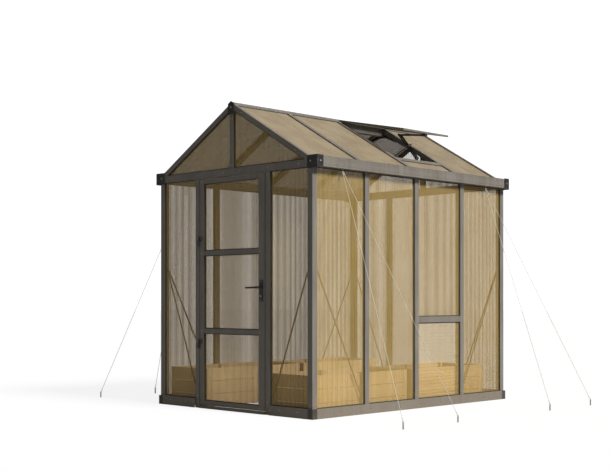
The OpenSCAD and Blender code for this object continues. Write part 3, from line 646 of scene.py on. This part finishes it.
pine_long = pine("pine_long_boards", 1)
pine_end = pine("pine_end_boards", 0)
pine_post = pine("pine_posts", 2)
long_boards = []
end_boards = []
posts = []
nails = []
board_levels = [(0.002, 0.105), (0.109, 0.212), (0.216, 0.318)]
for y0, y1 in ((-1.15, -0.07), (-0.02, 0.97)):
    middle = (y0 + y1) / 2
    for x in (0.385, 0.81):
        for y in (y0, middle - 0.0225, y1 - 0.045):
            posts.append(box((x, y, 0.0), (x + 0.045, y + 0.045, 0.32)))
    for z0, z1 in board_levels:
        for a, b in ((y0 + 0.0455, middle - 0.023), (middle + 0.023, y1 - 0.0455)):
            for x in (0.385, 0.835):
                long_boards.append(box((x, a, z0), (x + 0.02, b, z1)))
            for y in (a + 0.012, b - 0.012):
                for z in (z0 + 0.028, z1 - 0.028):
                    nails.append(screw((0.855, y, z), (1, 0, 0), 0.003))
                    nails.append(screw((0.385, y, z), (-1, 0, 0), 0.003))
        for y in (y0, y1 - 0.02):
            end_boards.append(box((0.4305, y, z0), (0.8095, y + 0.02, z1)))
        for x in (0.442, 0.798):
            for z in (z0 + 0.028, z1 - 0.028):
                nails.append(screw((x, y0, z), (0, -1, 0), 0.003))
                nails.append(screw((x, y1, z), (0, 1, 0), 0.003))
piece("bed_long_boards_right", long_boards, pine_long, edge=0.0018, replaced=["beds_right"])
piece("bed_long_boards_left", flip(long_boards, 0), pine_long, edge=0.0018, replaced=["beds_left"])
piece("bed_end_boards", end_boards + flip(end_boards, 0), pine_end, edge=0.0018)
piece("bed_posts", posts + flip(posts, 0), pine_post, edge=0.003)
piece("bed_nails", nails + flip(nails, 0), steel_finish)

# ---- Guy ropes, hooks and pegs ----
# Two thin three-strand ropes run from each bright eye bolt under the gutter to steel pegs in the
# ground. They are taut, knotted to the eye and the peg, and whipped with thread beside the knots.
rope_finish, place = new_finish("twisted_rope")
fuzz = place.noise(700.0, 2.0)
soil = place.noise(14.0).between(0.45, 0.75)
strand_colour = fuzz.mix((0.34, 0.31, 0.25), (0.46, 0.43, 0.35))
strand_colour = (0.5 * soil).mix(strand_colour, (0.33, 0.28, 0.20))
close_finish(rope_finish, strand_colour, 0.75 + 0.1 * fuzz, fuzz, 0.0004)
strands = []
hooks = []
pegs = []
for hook_y in (-0.91875, 0.91875):
    hooks.append(turned((0.93, hook_y, 1.8815), (0, 0, -1), [(0, 0.009), (0.0015, 0.009), (0.0015, 0.0065),
                                                           (0.006, 0.0065), (0.006, 0.0028),
                                                           (0.0155, 0.0028)], 6))
    hooks.append(loop((0.93, hook_y, 1.860), (1, 0, 0.2), 0.0058, 0.0021))
    for side in (-1, 1):
        top = np.array((0.93, hook_y + side * 0.004, 1.860))
        foot = np.array((1.78, hook_y + side * 0.31, 0.048))
        length = np.linalg.norm(foot - top)
        down = (foot - top) / length
        across = np.cross(down, (0, 0, 1))
        across /= np.linalg.norm(across)
        beside = np.cross(down, across)
        steps = np.arange(0.010, length - 0.014, 0.0045)
        for strand in range(3):
            turn = steps * 2 * math.pi / 0.036 + strand * 2 * math.pi / 3
            strands.append(tube(top + steps[:, None] * down
                                + 0.0009 * (np.cos(turn)[:, None] * across
                                            + np.sin(turn)[:, None] * beside), 0.00098, 5))
        for start, size in ((0.012, 0.0036), (0.020, 0.0033), (length - 0.034, 0.0036)):
            strands.append(turned(top + down * start, down,
                                  [(0, 0.5 * size), (0.002, size), (0.006, size), (0.008, 0.5 * size)], 10))
        strands.append(loop(top + down * 0.006, across, 0.0052, 0.0012))
        strands.append(loop(foot - down * 0.012, across, 0.0060, 0.0012))
        pegs.append(turned((foot[0], foot[1], 0.0), (0, 0, 1), [(0, 0.0052), (0.040, 0.0052), (0.042, 0.0044)], 12))
        pegs.append(loop((foot[0], foot[1], 0.047), beside, 0.0062, 0.0024))
piece("rope_strands", strands + flip(strands, 0), rope_finish, replaced=["guy_ropes"])
piece("eye_bolts", hooks + flip(hooks, 0), steel_finish, replaced=["rope_hooks"])
piece("peg_rods", pegs + flip(pegs, 0), steel_finish, replaced=["ground_pegs"])

# ---- Door furniture ----
# A cast lever on each side turns on one spindle through a rose on a long black plate. Under it
# sits the lock's cylinder with its keyway. The hinges have a ring between their knuckles.
roses = []
for y, out in ((-1.229, -1), (-1.191, 1)):
    roses.append(turned((0.3515, y, 0.985), (0, out, 0), [(0, 0.0092), (0, 0.0175), (0.004, 0.0175),
                                                         (0.006, 0.0155), (0.006, 0.0092)], 28, True))
    roses.append(turned((0.3515, y, 0.917), (0, out, 0), [(0, 0.0125), (0.002, 0.0125), (0.003, 0.0115)], 24))
piece("handle_roses", roses, plastic_finish, "door")
locks = []
for y, out in ((-1.232, -1), (-1.188, 1)):
    locks.append(turned((0.3515, y, 0.917), (0, out, 0), [(0, 0.0085), (0.004, 0.0085), (0.005, 0.0075)], 24))
piece("lock_cylinders", locks, steel_finish, "door")
keyways = []
for y, out in ((-1.2371, -1), (-1.1829, 1)):
    keyways.append(box((0.3505, y - 0.0003, 0.912), (0.3525, y + 0.0003, 0.9215)))
piece("keyways", keyways, rubber_finish, "door")
levers = []
grip = [(0.3515, 0.9938), (0.340, 0.9938), (0.300, 0.9915), (0.240, 0.9905), (0.214, 0.9905),
        (0.2065, 0.9880), (0.2035, 0.9835), (0.2065, 0.9790), (0.214, 0.9770), (0.240, 0.9770),
        (0.300, 0.9775), (0.340, 0.9765), (0.3515, 0.9763)]
for y0, y1 in ((-1.2675, -1.2595), (-1.1605, -1.1525)):
    levers.append(prism(grip, 1, y0, y1))
    levers.append(turned((0.3515, y0, 0.985), (0, 1, 0), [(0, 0.0085), (y1 - y0, 0.0088)], 24))
levers.append(turned((0.3515, -1.262, 0.985), (0, 1, 0), [(0, 0.0082), (0.104, 0.0082)], 24))
piece("lever_handles", levers, plastic_finish, "handle", edge=0.0022, replaced=["door_handle"])
caps = []
for z in (0.530, 1.370):
    caps.append(turned((-0.392, -1.233, z - 0.0425), (0, 0, 1), [(0, 0.003), (0.0018, 0.0055), (0.0042, 0.0058)], 18))
piece("hinge_caps", caps, plastic_finish)

# ---- Threshold ----
# The low bar under the door has a ribbed tread so that it isn't slippery.
treads = [box((-0.38, y - 0.0012, 0.0198), (0.38, y + 0.0012, 0.0216)) for y in np.arange(-1.232, -1.2, 0.006)]
piece("threshold_treads", treads, bar_finish)

# ---- Light, floor and camera ----
# A plain pale floor under one soft key light and an even sky. The camera stands at the right
# front corner, a little under a person's eye height.
floor_finish = bpy.data.materials.new("floor")
floor_finish.use_nodes = True
tree = floor_finish.node_tree
tree.nodes.clear()
ray = Value(tree).node("ShaderNodeLightPath", {}, {}, "Is Camera Ray")
matt = ray.node("ShaderNodeBsdfDiffuse", {}, {"Color": (0.36, 0.36, 0.355, 1.0)})
glow = ray.node("ShaderNodeEmission", {}, {"Color": (1.0, 1.0, 1.0, 1.0), "Strength": 1.12})
mixed = ray.node("ShaderNodeMixShader", {}, {0: 0.78 * ray, 1: matt, 2: glow})
output = tree.nodes.new("ShaderNodeOutputMaterial")
tree.links.new(mixed.socket, output.inputs["Surface"])
mesh = bpy.data.meshes.new("floor")
mesh.from_pydata([(-60, -60, 0), (60, -60, 0), (60, 60, 0), (-60, 60, 0)], [], [(0, 1, 2, 3)])
mesh.materials.append(floor_finish)
floor = bpy.data.objects.new("floor", mesh)
bpy.context.scene.collection.objects.link(floor)

world = bpy.data.worlds.new("sky")
bpy.context.scene.world = world
world.use_nodes = True
tree = world.node_tree
tree.nodes.clear()
ray = Value(tree).node("ShaderNodeLightPath", {}, {}, "Is Camera Ray")
seen = ray.maths("MAXIMUM", ray, ray.node("ShaderNodeLightPath", {}, {}, "Is Transmission Ray"))
sky = ray.node("ShaderNodeBackground", {}, {"Color": (1.0, 1.0, 1.0, 1.0), "Strength": 0.15})
backdrop = ray.node("ShaderNodeBackground", {}, {"Color": (1.0, 1.0, 1.0, 1.0), "Strength": 1.1})
mixed = ray.node("ShaderNodeMixShader", {}, {0: seen, 1: sky, 2: backdrop})
output = tree.nodes.new("ShaderNodeOutputWorld")
tree.links.new(mixed.socket, output.inputs["Surface"])

lamp = bpy.data.lights.new("key", "SUN")
lamp.energy = 7.0
lamp.angle = math.radians(16)
key = bpy.data.objects.new("key", lamp)
key.rotation_euler = (math.radians(-3), math.radians(50), 0)
bpy.context.scene.collection.objects.link(key)

lens = bpy.data.cameras.new("camera")
lens.sensor_width = 36.0
lens.sensor_fit = "HORIZONTAL"
lens.lens = 66.45
lens.shift_y = 0.1023
lens.clip_end = 200.0
camera = bpy.data.objects.new("camera", lens)
camera.location = (6.74, -7.20, 0.90)
camera.rotation_euler = (math.radians(90), 0, math.radians(44.7))
bpy.context.scene.collection.objects.link(camera)
bpy.context.scene.camera = camera
bpy.context.scene.cycles.transparent_max_bounces = 48
bpy.context.scene.view_settings.view_transform = "Standard"
